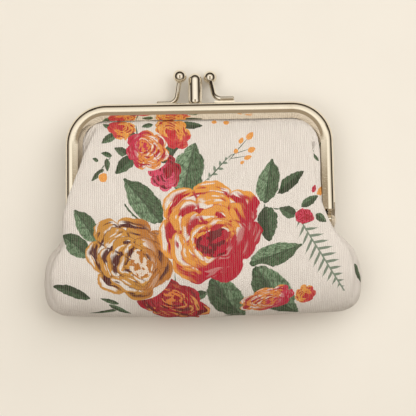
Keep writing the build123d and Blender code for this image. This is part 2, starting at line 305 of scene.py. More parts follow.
# ======================================================================================================
# Paper cords. Twisted kraft cord, wetted with glue and pushed into the channels over the cloth's edge.
# Only glimpses of it show between the channel's lips and the cloth.
# ======================================================================================================


def twisted_paper():
    material, tree, shader = new_surface("twisted_paper")
    where = tree.nodes.new("ShaderNodeTexCoord")
    strands = sockets(tree.nodes.new("ShaderNodeTexWave"), Scale=420.0, Distortion=2.0, Detail=2.0)
    strands.bands_direction = "DIAGONAL"
    tree.links.new(where.outputs["Object"], strands.inputs["Vector"])
    twist = mixed(tree, strands.outputs["Fac"], (0.48, 0.38, 0.26), (0.72, 0.61, 0.44))
    tree.links.new(twist, shader.inputs["Base Color"])
    bump = sockets(tree.nodes.new("ShaderNodeBump"), Strength=0.8, Distance=0.0002)
    tree.links.new(strands.outputs["Fac"], bump.inputs["Height"])
    tree.links.new(bump.outputs[0], shader.inputs["Normal"])
    sockets(shader, Roughness=0.8)
    return material


paper = twisted_paper()
for node in ("front_channel_cord", "back_channel_cord", "centre_channel_cord"):
    finish_node(node, paper)

# ======================================================================================================
# Outer cloth. One piece of ribbed cotton canvas a side, glued into its arch, running over the leg ends
# and sewn right sides together to the other along the pouch's sides and bottom, then turned.
# ======================================================================================================
DIP = math.radians(9.0)
DIP_STARTS, DIP_FULL = -6.0, 4.0  # v, between which the dip sets in


def row_point(u, v, w):
    """(u, v, w) in millimetres to metres in the row frame; the dip fades out below the rivets."""
    t = min(max((v - DIP_STARTS) / (DIP_FULL - DIP_STARTS), 0.0), 1.0)
    dip = DIP * t * t * (3 - 2 * t)
    y = v * math.cos(dip) + w * math.sin(dip)
    z = -v * math.sin(dip) + w * math.cos(dip)
    return (HINGE.x + u * MM, HINGE.y + y * MM, HINGE.z + z * MM)


def catmull(points, steps):
    """A smooth curve through an array's rows, with the given number of steps between each two."""
    points = np.asarray(points, float)
    padded = np.concatenate([2 * points[:1] - points[1:2], points, 2 * points[-1:] - points[-2:-1]])
    curve = []
    for k in range(len(points) - 1):
        a, b, c, d = padded[k : k + 4]
        for s in range(steps):
            t = s / steps
            cubic = (3 * b - a - 3 * c + d) * t**3
            curve.append(0.5 * (2 * b + (c - a) * t + (2 * a - 5 * b + 4 * c - d) * t**2 + cubic))
    curve.append(points[-1])
    return np.array(curve)


# Each row of the cloth, from the arch's channel down to the bottom seam: the crown (v, w), the edge
# (u, v, w), the slot's mouth (u, w), then strip, flank and shoulder (u, w) on the right and on the left.
# The left is pushed out over its leg.
CLOTH_ROWS = [
    ((34.0, 3.0), (30.6, 34.0, 3.0), (29.5, 3.0), ((28.5, 3.0), (27.5, 3.0), (24.0, 3.0)), None),
    ((32.8, 3.2), (34.2, 32.8, 2.9), (32.9, 3.1), ((32.0, 3.2), (31.0, 3.3), (27.0, 3.3)), None),
    ((31.2, 4.4), (36.1, 31.3, 2.9), (34.6, 3.3), ((34.2, 3.9), (33.2, 4.5), (30.0, 4.8)), None),
    (
        (28.5, 5.8), (37.9, 28.5, 2.9), (36.3, 3.4),
        ((36.8, 4.9), (35.6, 5.8), (32.5, 6.2)), ((35.9, 3.9), (33.9, 5.3), (31.6, 6.6)),
    ),
    (
        (24.0, 7.0), (38.6, 24.0, 2.9), (36.8, 3.5),
        ((38.0, 5.9), (36.4, 6.7), (34.0, 7.3)), ((36.3, 4.0), (35.0, 6.0), (33.6, 7.6)),
    ),
    (
        (18.0, 8.1), (38.6, 18.0, 2.9), (36.8, 3.6),
        ((38.2, 6.1), (36.2, 7.1), (34.0, 7.9)), ((37.0, 4.6), (37.0, 6.6), (35.8, 8.2)),
    ),
    (
        (12.3, 9.3), (38.6, 12.3, 2.9), (36.8, 3.6),
        ((38.2, 6.2), (36.4, 7.5), (34.4, 8.5)), ((39.0, 6.3), (39.3, 7.4), (37.8, 8.9)),
    ),
    (
        (7.5, 10.3), (38.4, 7.5, 2.9), (36.8, 3.7),
        ((38.3, 6.3), (37.0, 7.7), (35.2, 8.9)), ((39.6, 6.4), (40.6, 7.7), (39.0, 9.3)),
    ),
    (
        (4.0, 11.0), (36.7, 4.3, 2.9), (36.8, 4.6),
        ((38.3, 6.5), (38.0, 7.7), (36.0, 9.1)), ((40.0, 6.6), (41.3, 7.6), (39.8, 9.4)),
    ),
    (
        (0.5, 11.5), (36.8, 1.6, 2.2), (37.4, 4.4),
        ((39.3, 6.0), (39.2, 7.3), (37.4, 9.0)), ((40.4, 6.5), (42.0, 7.4), (40.4, 9.2)),
    ),
    (
        (-2.5, 11.9), (39.2, -3.0, 0.9), (41.0, 2.4),
        ((42.2, 4.2), (41.8, 5.9), (39.6, 8.6)), ((41.8, 4.6), (42.6, 6.2), (40.8, 8.9)),
    ),
    ((-6.0, 12.2), (45.2, -6.0, 0.0), (45.4, 1.6), ((45.2, 3.6), (44.2, 5.9), (41.2, 9.0)), None),
    ((-10.5, 12.4), (49.0, -10.5, 0.0), (49.1, 1.8), ((48.7, 3.8), (47.3, 6.2), (43.6, 9.3)), None),
    ((-16.0, 12.2), (50.6, -16.0, 0.0), (50.6, 1.8), ((50.1, 3.8), (48.7, 6.1), (44.6, 9.1)), None),
    ((-21.0, 11.2), (50.6, -21.3, 0.0), (50.6, 1.6), ((50.0, 3.5), (48.4, 5.5), (43.8, 8.1)), None),
    ((-25.0, 9.2), (49.9, -25.0, 0.0), (49.7, 1.4), ((49.0, 2.9), (47.1, 4.6), (41.8, 6.5)), None),
    ((-27.8, 6.3), (48.0, -27.3, 0.0), (47.6, 1.0), ((46.8, 2.1), (44.8, 3.3), (39.0, 4.5)), None),
    ((-29.4, 3.1), (45.4, -28.6, 0.0), (45.0, 0.5), ((44.2, 1.0), (42.0, 1.7), (36.0, 2.3)), None),
    ((-29.9, 0.0), (43.6, -29.0, 0.0), (43.0, 0.0), ((42.0, 0.0), (40.0, 0.0), (34.0, 0.0)), None),
]
LEFT_NARROWER = 0.982  # the pouch's left end is a little less full


def cloth_net(side, overhang):
    """Control points of one side's cloth, rows from the arch to the bottom seam and columns from left to
    right. side is 1 for the front and -1 for the back."""
    net = []
    for (v_crown, w_crown), (u_edge, v_edge, w_edge), mouth, right, left in CLOTH_ROWS:
        bow = (v_edge - v_crown) / u_edge**2
        halves = []
        for hand, flank in ((-1, (left if overhang else None) or right), (1, right)):
            scale = LEFT_NARROWER if hand < 0 and v_crown < -3 else 1.0
            shoulder = flank[-1]
            inner = (shoulder[0] * 0.52, w_crown - (w_crown - shoulder[1]) * 0.33)
            column = [(u_edge, w_edge), mouth, *flank, inner]
            halves.append([(hand * scale * u, v_crown + bow * u * u, side * w) for u, w in column])
        crown = [(0.0, v_crown, side * w_crown)]
        net.append([row_point(*p) for p in halves[0] + crown + halves[1][::-1]])
    return np.array(net)


def dense_net(net, down, across):
    """The cloth's points on a fine grid through the control net."""
    rows = catmull(net, down)
    return np.array([catmull(row, across) for row in rows])


def grid_normals(grid):
    """Unit normals of a grid of points."""
    normal = np.cross(np.gradient(grid, axis=0), np.gradient(grid, axis=1))
    length = np.linalg.norm(normal, axis=2, keepdims=True)
    return normal / np.maximum(length, 1e-12)


def cloth_lengths(grid):
    """How far each grid point lies along the cloth, in millimetres: across from the middle column and
    down from the rivets' line."""
    across = np.linalg.norm(np.diff(grid, axis=1), axis=2).cumsum(axis=1)
    across = np.concatenate([np.zeros((len(grid), 1)), across], axis=1)
    middle = grid.shape[1] // 2
    across -= across[:, middle : middle + 1]
    down = np.linalg.norm(np.diff(grid, axis=0), axis=2).cumsum(axis=0)
    down = np.concatenate([np.zeros((1, grid.shape[1])), down], axis=0)
    return across / MM, -down / MM


def ruffled(grid, side, depth):
    """Works the small soft faults of sewn, turned cloth into a grid: broad dents, puckers along the seams
    and gathers where it leaves the channel."""
    normal = grid_normals(grid)
    rows, columns = grid.shape[:2]
    across, down = cloth_lengths(grid)
    v = (grid[:, :, 1] - HINGE.y) / MM
    from_bottom = down - down[-1:, :]
    from_side = np.minimum(across - across[:, :1], across[:, -1:] - across)
    below = 1 / (1 + np.exp((v + 3.0) / 1.5))
    moved = np.zeros((rows, columns))
    for i in range(rows):
        for j in range(columns):
            p = Vector((across[i, j], down[i, j], 7.0 * side))
            moved[i, j] += 0.55 * noise.noise(p * 0.085) + 0.22 * noise.noise(p * 0.21)
    seam = np.exp(-from_bottom / 3.2)
    moved += -0.16 * seam * (1 + np.sin(across * 1.25 + 0.8 * np.sin(across * 0.31)))
    side_seam = np.exp(-from_side / 3.0) * below
    moved += -0.18 * side_seam * (1 + np.sin(down * 1.35 + 0.7 * np.sin(down * 0.5)))
    gather = np.exp(-np.abs(down) / 5.0)
    moved += 0.10 * gather * np.sin(across * 1.1 + 1.3 * np.sin(across * 0.23))
    held = np.clip(from_side / 2.5, 0, 1) * np.clip(from_bottom / 1.2, 0, 1) * np.clip((-down) / 2.5, 0, 1)
    return grid + normal * (moved * depth * held * side * MM)[:, :, None]


def sheet_object(name, grid, thickness, side, material):
    """A cloth of real thickness from a grid of its outside points. Its map is in millimetres of cloth."""
    rows, columns = grid.shape[:2]
    inner = grid - grid_normals(grid) * side * thickness * MM
    points = np.concatenate([grid.reshape(-1, 3), inner.reshape(-1, 3)])
    count = rows * columns
    faces = []
    for i in range(rows - 1):
        for j in range(columns - 1):
            a, b = i * columns + j, i * columns + j + 1
            c, d = b + columns, a + columns
            faces.append((d, c, b, a) if side > 0 else (a, b, c, d))
            below = (a + count, b + count, c + count, d + count)
            faces.append(below if side > 0 else below[::-1])
    rim = [j for j in range(columns)] + [i * columns + columns - 1 for i in range(1, rows)]
    rim += [(rows - 1) * columns + j for j in range(columns - 2, -1, -1)]
    rim += [i * columns for i in range(rows - 2, 0, -1)]
    for a, b in zip(rim, rim[1:] + rim[:1]):
        faces.append((a, b, b + count, a + count) if side > 0 else (b, a, a + count, b + count))
    mesh = bpy.data.meshes.new(name)
    mesh.from_pydata(points.tolist(), [], faces)
    across, down = cloth_lengths(grid)
    uv = np.stack([across.reshape(-1), down.reshape(-1)], axis=1)
    uv = np.concatenate([uv, uv])
    layer = mesh.uv_layers.new(name="cloth")
    corners = np.array([loop.vertex_index for loop in mesh.loops])
    layer.data.foreach_set("uv", uv[corners].astype(np.float32).reshape(-1))
    mesh.polygons.foreach_set("use_smooth", np.ones(len(mesh.polygons), bool))
    mesh.materials.append(material)
    mesh.validate()
    piece = bpy.data.objects.new(name, mesh)
    bpy.context.scene.collection.objects.link(piece)
    return piece


front_grid = ruffled(dense_net(cloth_net(1, True), 7, 14), 1, 1.0)
back_grid = ruffled(dense_net(cloth_net(-1, False), 7, 14), -1, 0.7)
# The back lies on the table, pressed flat there with a soft edge to the flat
TABLE_GAP = 0.15 * MM
FLAT_EDGE = 0.8 * MM
above_table = np.clip((back_grid[:, :, 2] - TABLE_GAP) / FLAT_EDGE, -30, 30)
back_grid[:, :, 2] = TABLE_GAP + FLAT_EDGE * np.log1p(np.exp(above_table))

# The print is laid out by where each motif lies on the front as seen from above, then carried into the
# cloth's own map, so that it follows the cloth round the pouch.
front_across, front_down = cloth_lengths(front_grid)
front_plan = (front_grid[:, :, :2] - np.array([HINGE.x, HINGE.y])) / MM
front_facing = grid_normals(front_grid)[:, :, 2] > 0.12


def on_cloth(x, y):
    """The cloth's map at the point of the front that lies over plan point (x, y)."""
    gap = np.hypot(front_plan[:, :, 0] - x, front_plan[:, :, 1] - y) + np.where(front_facing, 0.0, 50.0)
    i, j = np.unravel_index(np.argmin(gap), gap.shape)
    return Vector((float(front_across[i, j]), float(front_down[i, j]), 0.0))


# Leaves, buds and berries: base (x, y), tip (x, y), width and tone. Tones run from 0, dark green, to 1,
# pale green; 2 is an orange berry, 3 a crimson bud and 4 a stem.
SPRAYS = [
    (20.0, 5.9, 19.7, 1.6, 0.5, 4), (20.1, 4.0, 30.4, 3.6, 0.5, 4), (-27.9, 21.4, -33.5, 13.5, 0.4, 4),
    (2.3, 13.6, 9.4, 20.4, 0.4, 4), (8.6, 19.4, 15.9, 27.2, 0.35, 4), (-20.3, 31.8, -19.5, 23.5, 0.5, 4),
    (9.5, 20.6, 16.6, 23.0, 0.3, 4), (9.0, 19.6, 14.8, 20.6, 0.3, 4), (-8.0, -15.5, -8.6, -24.0, 0.5, 4),
    (-25.8, -26.3, -35.6, -28.0, 1.9, 0.3), (-35.1, -23.2, -46.5, -19.2, 4.4, 0.1),
    (-34.8, -9.8, -43.2, -3.6, 8.0, 0.5), (-32.0, -5.4, -39.5, 4.8, 8.2, 0.65),
    (-28.0, 30.4, -30.6, 31.9, 2.6, 0.4), (-26.8, 28.6, -30.8, 25.8, 2.8, 0.4),
    (-20.4, 28.5, -23.8, 27.7, 2.2, 0.3), (-14.6, 31.4, -18.4, 30.6, 2.4, 0.4),
    (-16.1, 28.9, -18.9, 28.2, 1.3, 0.5), (-6.9, 31.6, 0.8, 30.8, 3.6, 0.05),
    (-22.1, 22.0, -27.3, 24.3, 3.4, 0.25), (-20.8, 21.5, -26.4, 16.1, 4.6, 0.2),
    (-12.4, 19.4, -5.6, 25.7, 5.6, 0.05), (-27.7, 21.3, -30.6, 22.8, 2.0, 0.3),
    (-29.0, 20.3, -28.9, 17.0, 2.0, 0.3), (-31.4, 20.1, -33.6, 21.2, 1.5, 0.3),
    (-30.2, 17.5, -33.6, 13.4, 1.8, 0.2), (-13.0, 1.2, -23.3, 6.0, 6.4, 0.1),
    (-12.0, 0.4, -23.4, 13.9, 10.6, 0.6), (-5.9, 8.6, -1.0, 25.3, 11.6, 0.75),
    (24.0, 9.1, 32.2, 15.6, 5.2, 0.05), (19.8, 5.5, 22.5, 19.7, 8.4, 0.6),
    (20.2, 5.0, 21.4, -5.9, 7.4, 0.1), (14.2, -13.0, 31.2, -7.1, 8.4, 0.6),
    (17.2, -13.6, 30.3, -28.6, 12.0, 0.5), (3.0, -16.9, 13.3, -29.4, 11.4, 0.45),
    (2.4, -21.3, -4.8, -23.6, 3.8, 0.35), (31.7, 4.7, 36.9, 7.7, 3.4, 0.3),
    (30.4, 2.0, 24.6, 4.2, 4.0, 0.25), (35.5, 2.3, 39.4, -0.4, 2.8, 0.35),
    (12.8, -29.0, 6.4, -29.2, 1.4, 0.3), (38.4, 18.8, 37.6, 25.4, 1.5, 0.4),
    (37.6, 18.6, 35.8, 22.8, 1.2, 0.4), (-29.0, -24.9, -22.0, -28.0, 2.5, 0.4),
    (-26.5, -25.3, -31.4, -22.8, 2.1, 0.3), (48.0, -14.0, 50.2, -20.0, 3.0, 0.3),
    (15.3, 26.4, 17.1, 28.3, 2.4, 2), (12.8, 24.5, 13.6, 26.5, 1.7, 2), (15.3, 22.6, 18.0, 23.4, 2.3, 2),
    (10.9, 21.8, 11.8, 23.6, 1.7, 2), (13.7, 20.3, 16.0, 20.9, 1.8, 2), (12.8, 18.7, 14.3, 19.1, 1.3, 2),
    (-31.6, 13.4, -29.5, 16.1, 2.9, 2), (4.0, 31.2, 5.2, 32.6, 2.0, 2), (7.4, 31.2, 9.8, 32.2, 2.4, 2),
    (36.2, 8.4, 37.6, 11.4, 2.6, 2), (35.2, 8.6, 36.0, 11.0, 1.6, 3), (29.6, 2.8, 35.9, 0.6, 5.2, 3),
]
# Flowers: middle (x, y), radius, turn in degrees, how round, and palette
FLOWERS = [
    (21.0, -24.6, 9.0, 10, 0.55, 4), (32.5, -22.7, 3.4, 0, 1.1, 3), (-8.9, -24.9, 12.6, 150, 0.72, 2),
    (-24.5, 30.0, 4.8, 200, 0.95, 3), (-8.6, 29.4, 6.6, -50, 0.85, 3), (-11.7, 15.9, 6.4, 75, 0.82, 5),
    (-16.9, 23.6, 7.0, 200, 1.0, 4), (-22.7, -10.4, 14.0, 35, 0.98, 1), (3.4, -2.4, 17.4, -12, 0.98, 0),
]
# Ferns: base (x, y), tip (x, y) and width
FERNS = [(29.2, 3.4, 44.6, -22.4, 8.6), (1.8, 13.0, 10.6, 21.2, 3.6)]


def vectors(tree, operation, first, second=None, scale=None):
    """A Vector Math node fed with sockets or vectors; returns the node."""
    node = tree.nodes.new("ShaderNodeVectorMath")
    node.operation = operation
    for socket, value in ((node.inputs[0], first), (node.inputs[1], second), (node.inputs[3], scale)):
        if value is None:
            continue
        if isinstance(value, (tuple, Vector, int, float)):
            socket.default_value = value
        else:
            tree.links.new(value, socket)
    return node


def split(tree, vector):
    """A vector's three parts."""
    node = tree.nodes.new("ShaderNodeSeparateXYZ")
    tree.links.new(vector, node.inputs[0])
    return node.outputs


def joined(tree, *parts):
    node = tree.nodes.new("ShaderNodeCombineXYZ")
    for socket, part in zip(node.inputs, parts):
        if isinstance(part, (int, float)):
            socket.default_value = part
        else:
            tree.links.new(part, socket)
    return node.outputs[0]


def clouds(tree, vector, scale, detail=2.0):
    """A Noise texture's node."""
    node = sockets(tree.nodes.new("ShaderNodeTexNoise"), Scale=scale, Detail=detail)
    tree.links.new(vector, node.inputs["Vector"])
    return node


def ribbed_weave_group():
    """Plain weave with heavier upright threads. Vector is in millimetres of cloth."""
    group, source, result = group_of(
        "ribbed_weave",
        [
            ("Vector", "NodeSocketVector", None),
            ("Pitch", "NodeSocketFloat", 0.6),
            ("Slub", "NodeSocketFloat", 0.5),
        ],
        [("Height", "NodeSocketFloat"), ("Tone", "NodeSocketFloat")],
    )
    x, y, _ = split(group, source.outputs["Vector"])
    uneven = clouds(group, source.outputs["Vector"], 0.9, 3.0).outputs["Fac"]
    wandering = maths(group, "ADD", x, maths(group, "MULTIPLY", uneven, 0.35))
    column = maths(group, "DIVIDE", wandering, source.outputs["Pitch"])
    rib = maths(group, "PINGPONG", column, 0.5)
    stagger = maths(group, "MULTIPLY", maths(group, "FLOOR", column), 0.5)
    row = maths(group, "DIVIDE", y, source.outputs["Pitch"])
    knot = maths(group, "PINGPONG", maths(group, "ADD", row, stagger), 0.5)
    height = maths(group, "MULTIPLY_ADD", knot, 0.7, maths(group, "MULTIPLY", rib, 1.6))
    group.links.new(height, result.inputs["Height"])
    streak = vectors(group, "MULTIPLY", source.outputs["Vector"], (2.6, 0.16, 1.0)).outputs[0]
    slub = ramp(group, clouds(group, streak, 1.0, 4.0).outputs["Fac"], 0.36, 0.66)
    # painted shade: Tone darkens the grooves between the ribs, on top of the slubs' own uneven tone
    gap = maths(group, "MULTIPLY", maths(group, "SUBTRACT", 1.0, ramp(group, rib, 0.0, 0.30)), 0.55)
    tone = maths(group, "MULTIPLY_ADD", maths(group, "SUBTRACT", 1.0, slub), source.outputs["Slub"], gap)
    group.links.new(tone, result.inputs["Tone"])
    return group


def leaf_group():
    """One painted leaf from base (-1, 0) to tip (1, 0); z picks its tone."""
    group, source, result = group_of(
        "painted_leaf",
        [("Under", "NodeSocketColor", None), ("Place", "NodeSocketVector", None)],
        [("Color", "NodeSocketColor")],
    )
    x, y, tone = split(group, source.outputs["Place"])
    brush = clouds(group, source.outputs["Place"], 3.2, 3.0).outputs["Fac"]
    across = maths(group, "ABSOLUTE", y)
    from_tips = maths(group, "MULTIPLY_ADD", maths(group, "MULTIPLY", x, x), -1.0, 1.0)
    lens = maths(group, "POWER", maths(group, "MAXIMUM", from_tips, 0.0), 0.72)
    outline = maths(group, "MULTIPLY", lens, maths(group, "MULTIPLY_ADD", x, -0.24, 0.86))
    outline = maths(group, "ADD", outline, maths(group, "MULTIPLY_ADD", brush, 0.5, -0.25))
    inside = ramp(group, maths(group, "SUBTRACT", outline, across), -0.02, 0.05)
    slant = maths(group, "MULTIPLY_ADD", across, -0.9, maths(group, "MULTIPLY", x, 2.3))
    bend = maths(group, "MULTIPLY_ADD", brush, 0.55, slant)
    vein = maths(group, "SUBTRACT", 1.0, ramp(group, maths(group, "PINGPONG", bend, 0.5), 0.0, 0.17))
    rib = maths(group, "SUBTRACT", 1.0, ramp(group, across, 0.02, 0.10))
    dark_line = maths(group, "MAXIMUM", maths(group, "MULTIPLY", vein, 0.75), rib)
    fibre = joined(group, maths(group, "ADD", x, across), slant, tone)
    grain = vectors(group, "MULTIPLY", fibre, (9.0, 2.2, 1.0)).outputs[0]
    stroke = ramp(group, clouds(group, grain, 1.3, 3.0).outputs["Fac"], 0.36, 0.64)
    lit_half = ramp(group, y, -0.15, 0.15, 0.0, 0.30)
    brushed = maths(group, "MULTIPLY_ADD", stroke, 0.42, -0.12)
    lit = maths(group, "MULTIPLY_ADD", maths(group, "MINIMUM", tone, 1.0), 0.62, lit_half)
    value = maths(group, "ADD", brushed, lit)
    green = group.nodes.new("ShaderNodeValToRGB")
    green.color_ramp.elements[0].color = (0.014, 0.030, 0.013, 1)
    green.color_ramp.elements[1].color = (0.25, 0.37, 0.23, 1)
    for stop, colour in ((0.35, (0.038, 0.078, 0.034, 1)), (0.68, (0.085, 0.165, 0.082, 1))):
        green.color_ramp.elements.new(stop).color = colour
    group.links.new(value, green.inputs["Fac"])
    green = mixed(
        group, maths(group, "MULTIPLY", dark_line, 0.7), green.outputs["Color"], (0.022, 0.050, 0.024)
    )
    orange = mixed(group, stroke, (0.80, 0.27, 0.035), (0.86, 0.44, 0.11))
    bloom = ramp(group, clouds(group, grain, 0.6).outputs["Fac"], 0.45, 0.62)
    crimson = mixed(group, bloom, (0.37, 0.004, 0.022), (0.68, 0.055, 0.12))
    colour = mixed(group, maths(group, "GREATER_THAN", tone, 1.5), green, orange)
    colour = mixed(group, maths(group, "GREATER_THAN", tone, 2.5), colour, crimson)
    colour = mixed(group, maths(group, "GREATER_THAN", tone, 3.5), colour, (0.075, 0.125, 0.080))
    group.links.new(mixed(group, inside, source.outputs["Under"], colour), result.inputs["Color"])
    return group


# One colour for each of six palettes: full rose, ochre rose, crimson rose, small orange, pink, and bud
PETAL_COLOURS = {
    "warm": [
        (0.78, 0.33, 0.052),
        (0.60, 0.28, 0.045),
        (0.45, 0.008, 0.028),
        (0.80, 0.33, 0.050),
        (0.76, 0.27, 0.050),
        (0.66, 0.055, 0.12),
    ],
    "deep": [
        (0.45, 0.002, 0.026),
        (0.48, 0.17, 0.022),
        (0.33, 0.004, 0.016),
        (0.60, 0.030, 0.045),
        (0.56, 0.012, 0.060),
        (0.36, 0.004, 0.020),
    ],
    "light": [
        (0.84, 0.76, 0.68),
        (0.84, 0.77, 0.70),
        (0.80, 0.34, 0.09),
        (0.86, 0.47, 0.13),
        (0.85, 0.74, 0.68),
        (0.72, 0.11, 0.20),
    ],
    "shade": [
        (0.44, 0.004, 0.022),
        (0.075, 0.010, 0.008),
        (0.15, 0.003, 0.008),
        (0.47, 0.012, 0.020),
        (0.42, 0.006, 0.024),
        (0.15, 0.002, 0.010),
    ],
    "heart": [
        (0.16, 0.001, 0.008),
        (0.80, 0.68, 0.56),
        (0.72, 0.22, 0.045),
        (0.50, 0.020, 0.022),
        (0.74, 0.24, 0.05),
        (0.28, 0.003, 0.014),
    ],
}
PALETTES = 6.0  # how many colours each part of a petal has, one per palette
# Petal rings from the outside in: reach, lobes, first lobe's turn
PETAL_RINGS = [(1.0, 7, 0.3), (0.80, 6, 1.2), (0.62, 5, 2.3), (0.45, 4, 0.4), (0.29, 3, 1.1)]


def rose_group():
    """One painted rose of radius 1; z picks its palette."""
    group, source, result = group_of(
        "painted_rose",
        [("Under", "NodeSocketColor", None), ("Place", "NodeSocketVector", None)],
        [("Color", "NodeSocketColor")],
    )
    place = source.outputs["Place"]
    palette = maths(group, "DIVIDE", maths(group, "ADD", split(group, place)[2], 0.5), PALETTES)
    colours = {}
    for use, shades in PETAL_COLOURS.items():
        node = group.nodes.new("ShaderNodeValToRGB")
        node.color_ramp.interpolation = "CONSTANT"
        node.color_ramp.elements.remove(node.color_ramp.elements[1])
        for k, shade in enumerate(shades):
            stop = node.color_ramp.elements[0] if k == 0 else node.color_ramp.elements.new(k / PALETTES)
            stop.position, stop.color = k / PALETTES, (*shade, 1)
        group.links.new(palette, node.inputs["Fac"])
        colours[use] = node.outputs["Color"]
    sway = vectors(
        group, "SUBTRACT", clouds(group, place, 1.6, 1.0).outputs["Color"], (0.5, 0.5, 0.5)
    ).outputs[0]
    bent = vectors(group, "ADD", place, vectors(group, "SCALE", sway, scale=0.34).outputs[0]).outputs[0]
    ragged = maths(group, "MULTIPLY_ADD", clouds(group, place, 7.0, 2.0).outputs["Fac"], 0.10, -0.05)
    colour = source.outputs["Under"]
    for k, (reach, lobes, turn) in enumerate(PETAL_RINGS):
        inward = k / (len(PETAL_RINGS) - 1)
        heart = (0.10 * inward, -0.22 * inward, 0.0)
        x, y, _ = split(group, vectors(group, "SUBTRACT", bent, heart).outputs[0])
        radius = maths(group, "SQRT", maths(group, "MULTIPLY_ADD", x, x, maths(group, "MULTIPLY", y, y)))
        angle = maths(group, "ARCTAN2", y, x)
        wave = maths(group, "COSINE", maths(group, "MULTIPLY_ADD", angle, lobes / 2, turn))
        lobe = maths(group, "ABSOLUTE", wave)
        least = maths(group, "ADD", ragged, 0.80 * reach)
        rim = maths(group, "MULTIPLY_ADD", maths(group, "POWER", lobe, 0.6), 0.20 * reach, least)
        within = maths(group, "SUBTRACT", rim, radius)
        depth = maths(group, "DIVIDE", within, 0.20)
        layer = maths(group, "MULTIPLY_ADD", radius, 7.5, 3.1 * k)
        along = joined(group, maths(group, "DIVIDE", x, radius), maths(group, "DIVIDE", y, radius), layer)
        strokes = clouds(group, vectors(group, "MULTIPLY", along, (1.25, 1.25, 1.0)).outputs[0], 1.0, 2.0)
        first, second, third = split(group, strokes.outputs["Color"])
        right_of = maths(group, "MULTIPLY_ADD", x, 0.85, maths(group, "MULTIPLY", first, 0.9))
        turned = maths(group, "MULTIPLY_ADD", y, -0.45, right_of)
        petal = mixed(group, ramp(group, turned, 0.52, 0.72), colours["warm"], colours["deep"])
        bright = maths(group, "MULTIPLY", ramp(group, second, 0.525, 0.575), ramp(group, depth, 0.15, 0.4))
        bright = maths(group, "MULTIPLY", bright, ramp(group, turned, 0.50, 0.80, 1.0, 0.25))
        petal = mixed(group, bright, petal, colours["light"])
        between = maths(group, "SUBTRACT", 1.0, ramp(group, lobe, 0.04, 0.20))
        crease = maths(group, "MULTIPLY", between, ramp(group, depth, 0.1, 0.5))
        dark = maths(group, "MULTIPLY", ramp(group, third, 0.505, 0.555), ramp(group, depth, 0.30, 0.8))
        under_rim = maths(group, "SUBTRACT", 1.0, ramp(group, within, 0.0, 0.035)) if k else 0.0
        shaded = maths(group, "MAXIMUM", maths(group, "MAXIMUM", crease, dark), under_rim)
        petal = mixed(group, shaded, petal, colours["shade"])
        if k == len(PETAL_RINGS) - 1:
            petal = mixed(group, ramp(group, third, 0.50, 0.54), colours["heart"], colours["deep"])
        colour = mixed(group, ramp(group, within, 0.0, 0.02), colour, petal)
    group.links.new(colour, result.inputs["Color"])
    return group


def fern_group():
    """One painted fern from base (-1, 0) to tip (1, 0)."""
    group, source, result = group_of(
        "painted_fern",
        [
            ("Under", "NodeSocketColor", None),
            ("Place", "NodeSocketVector", None),
            ("Pairs", "NodeSocketFloat", 9.0),
        ],
        [("Color", "NodeSocketColor")],
    )
    x, y, _ = split(group, source.outputs["Place"])
    across = maths(group, "ABSOLUTE", y)
    stagger = maths(group, "MULTIPLY", maths(group, "GREATER_THAN", y, 0.0), 0.5)
    swept = maths(group, "MULTIPLY_ADD", across, -0.16, x)
    step = maths(group, "MULTIPLY", swept, maths(group, "MULTIPLY", source.outputs["Pairs"], 0.5))
    leaflet = maths(group, "PINGPONG", maths(group, "ADD", step, stagger), 0.5)
    reach = maths(group, "MULTIPLY", maths(group, "SUBTRACT", 1.08, maths(group, "MULTIPLY", x, x)), 0.92)
    taper = maths(group, "SUBTRACT", reach, across)
    half_width = maths(group, "MULTIPLY", ramp(group, taper, 0.0, 0.5), 0.19)
    body = ramp(group, maths(group, "SUBTRACT", half_width, leaflet), -0.03, 0.02)
    blade = maths(group, "MULTIPLY", body, ramp(group, taper, 0.0, 0.05))
    short_of_tip = maths(group, "LESS_THAN", maths(group, "ABSOLUTE", x), 0.97)
    middle = maths(group, "SUBTRACT", 1.0, ramp(group, across, 0.03, 0.07))
    stem = maths(group, "MULTIPLY", middle, short_of_tip)
    inside = maths(group, "MAXIMUM", blade, stem)
    tint = mixed(
        group,
        clouds(group, source.outputs["Place"], 5.0).outputs["Fac"],
        (0.085, 0.150, 0.095),
        (0.17, 0.25, 0.18),
    )
    thin = maths(group, "MULTIPLY", inside, 0.92)
    group.links.new(mixed(group, thin, source.outputs["Under"], tint), result.inputs["Color"])
    return group


def placed(tree, cloth, middle, turn, half_length, half_width, pick):
    """The cloth's map in a motif's own units, with pick in z."""
    node = tree.nodes.new("ShaderNodeMapping")
    node.vector_type = "TEXTURE"
    sockets(
        node,
        Location=(middle.x, middle.y, -pick),
        Rotation=(0, 0, turn),
        Scale=(half_length, half_width, 1.0),
    )
    tree.links.new(cloth, node.inputs["Vector"])
    return node.outputs[0]


def topmost(tree, places):
    """Of motifs' own units, those of the last motif whose oval the point is in."""
    chosen = None
    for place in places:
        x, y, _ = split(tree, place)
        oval = maths(
            tree, "LESS_THAN", maths(tree, "MULTIPLY_ADD", x, x, maths(tree, "MULTIPLY", y, y)), 1.0
        )
        node = tree.nodes.new("ShaderNodeMix")
        node.data_type = "VECTOR"
        tree.links.new(oval, node.inputs[0])
        if chosen is None:
            node.inputs[4].default_value = (9.0, 9.0, 0.0)
        else:
            tree.links.new(chosen, node.inputs[4])
        tree.links.new(place, node.inputs[5])
        chosen = node.outputs[1]
    return chosen


def painted(tree, group, under, place, **values):
    node = tree.nodes.new("ShaderNodeGroup")
    node.node_tree = group
    sockets(node, **values)
    tree.links.new(under, node.inputs["Under"])
    tree.links.new(place, node.inputs["Place"])
    return node.outputs["Color"]


ribbed_weave, painted_leaf = ribbed_weave_group(), leaf_group()
painted_rose, painted_fern = rose_group(), fern_group()


